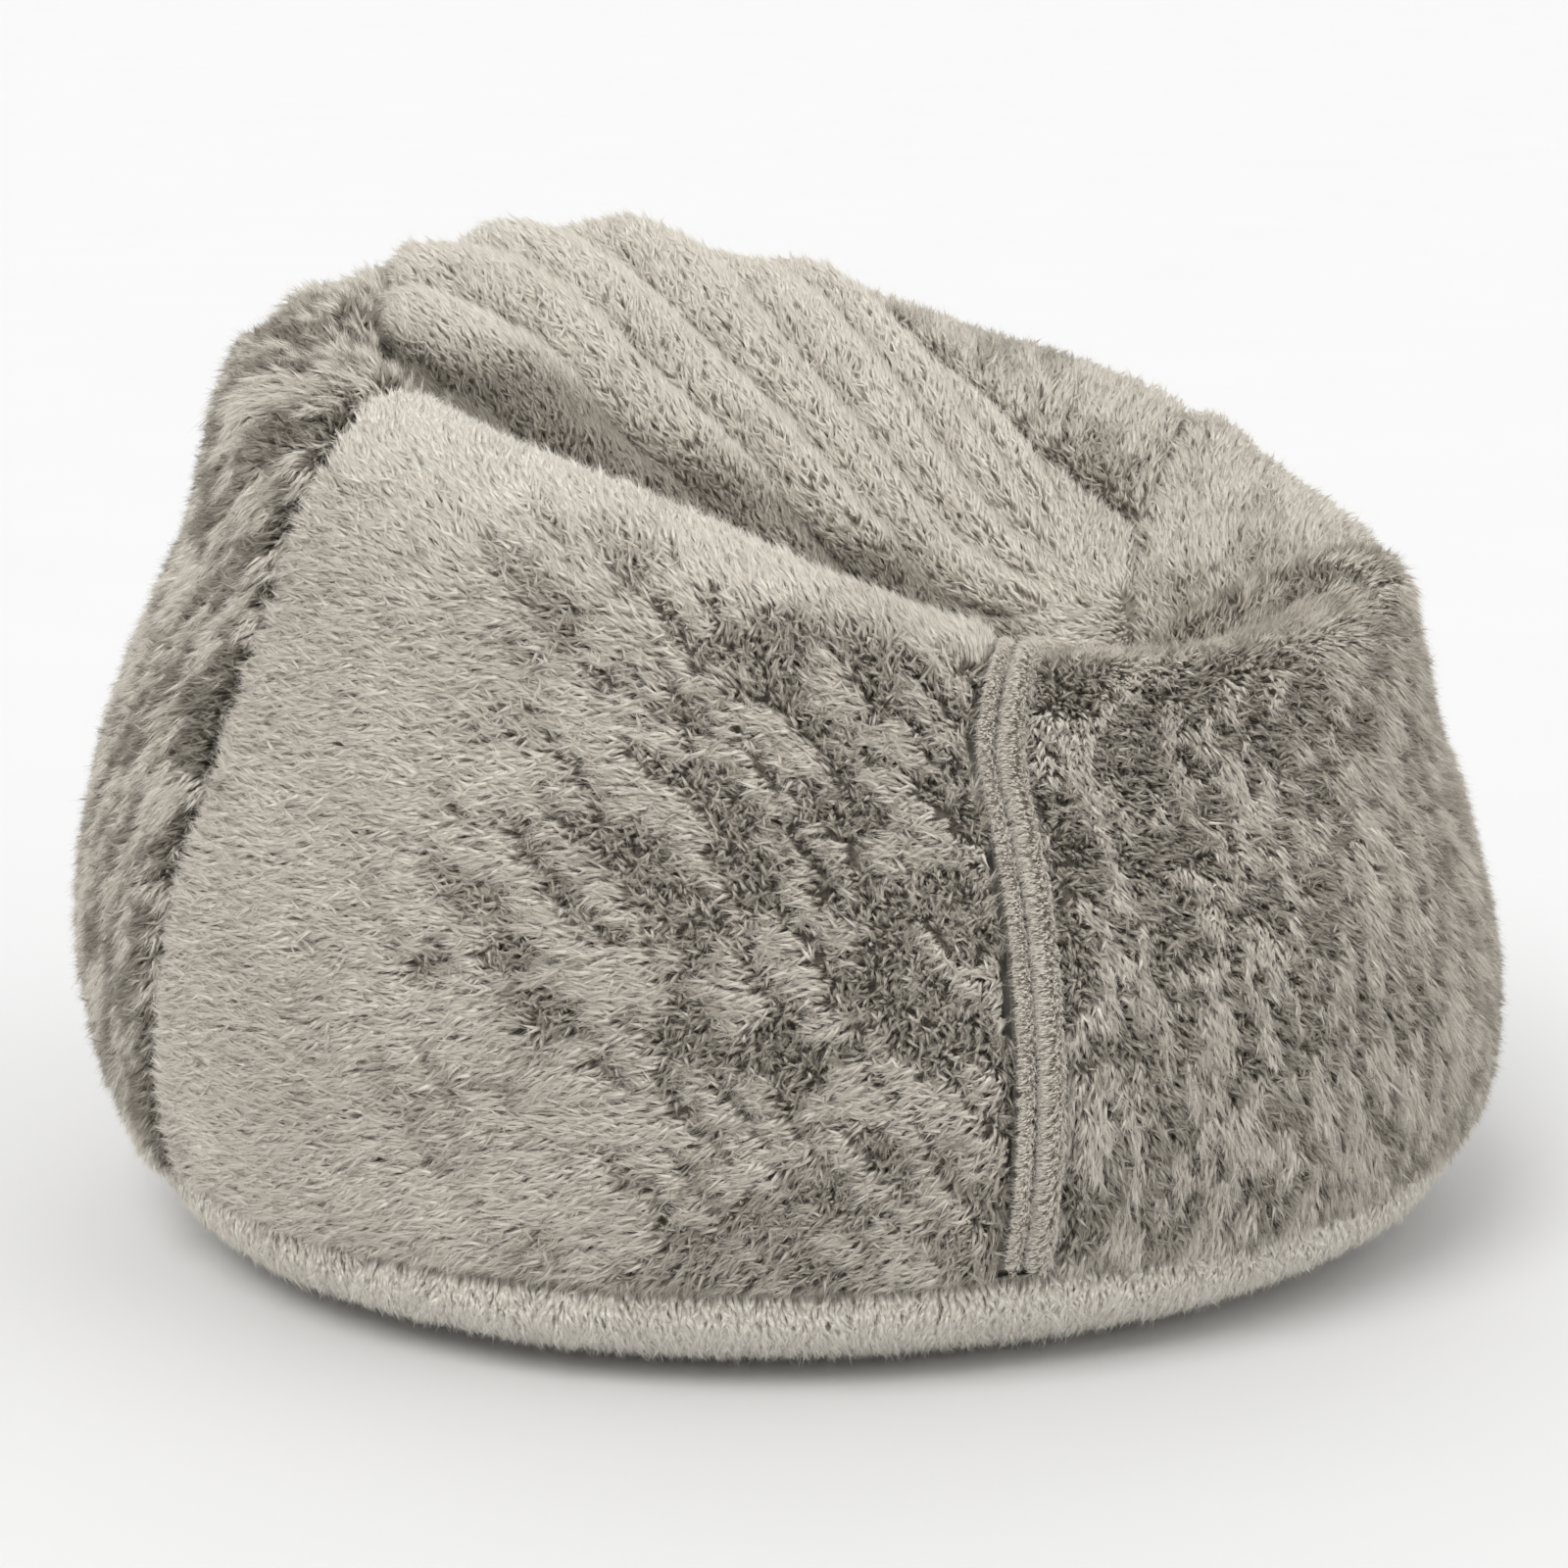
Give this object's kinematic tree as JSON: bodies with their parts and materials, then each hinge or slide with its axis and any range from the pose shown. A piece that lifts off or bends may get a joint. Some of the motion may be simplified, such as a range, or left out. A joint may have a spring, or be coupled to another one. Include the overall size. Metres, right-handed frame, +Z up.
{
  "type": "bean bag chair",
  "caption": "Slouched round bean bag chair with a long-pile fur cover: panelled sides, a gathered seat hollow, a covered front zip and a bead-filled liner.",
  "frame": {"origin": "centre of the flat round face that rests on the floor", "axes": "+Z up; the front, the low side of the rim with the zip placket, faces -Y"},
  "size_m": [1.0387, 0.995, 0.694],
  "materials": {
    "fur": "matte",
    "liner_cloth": "matte",
    "beads": "matte",
    "zip_coil": "satin",
    "zip_tape": "matte",
    "zip_metal": "satin"
  },
  "bodies": {
    "bag": {"front_left_panel": "fur", "front_right_panel": "fur", "right_back_panel": "fur", "rear_panel": "fur", "left_back_panel": "fur", "seat_panel": "fur", "base_panel": "fur", "placket_edge": "fur", "placket_flap": "fur", "liner_body": "liner_cloth", "liner_base": "liner_cloth", "bead_fill": "beads", "zip_coil_left": "zip_coil", "zip_coil_right": "zip_coil", "zip_tape_left": "zip_tape", "zip_tape_right": "zip_tape", "zip_top_stop": "zip_metal", "zip_bottom_stop": "zip_metal", "liner_zip_coil_left": "zip_coil", "liner_zip_coil_right": "zip_coil", "liner_zip_tape_left": "zip_tape", "liner_zip_tape_right": "zip_tape", "liner_zip_top_stop": "zip_metal", "liner_zip_bottom_stop": "zip_metal"},
    "zip_slider_body": {"zip_slider": "zip_metal"},
    "liner_slider_body": {"liner_zip_slider": "zip_metal"}
  },
  "joints": [
    {"name": "zip_travel", "type": "hinge", "parent": "bag", "child": "zip_slider_body", "pos_m": [0, -0.17802, 0.20471], "axis": [1, 0, 0], "range_deg": [0, 54.6]},
    {"name": "liner_zip_travel", "type": "slide", "parent": "bag", "child": "liner_slider_body", "axis": [1, 0, 0], "range_m": [0, 0.2778]}
  ]
}
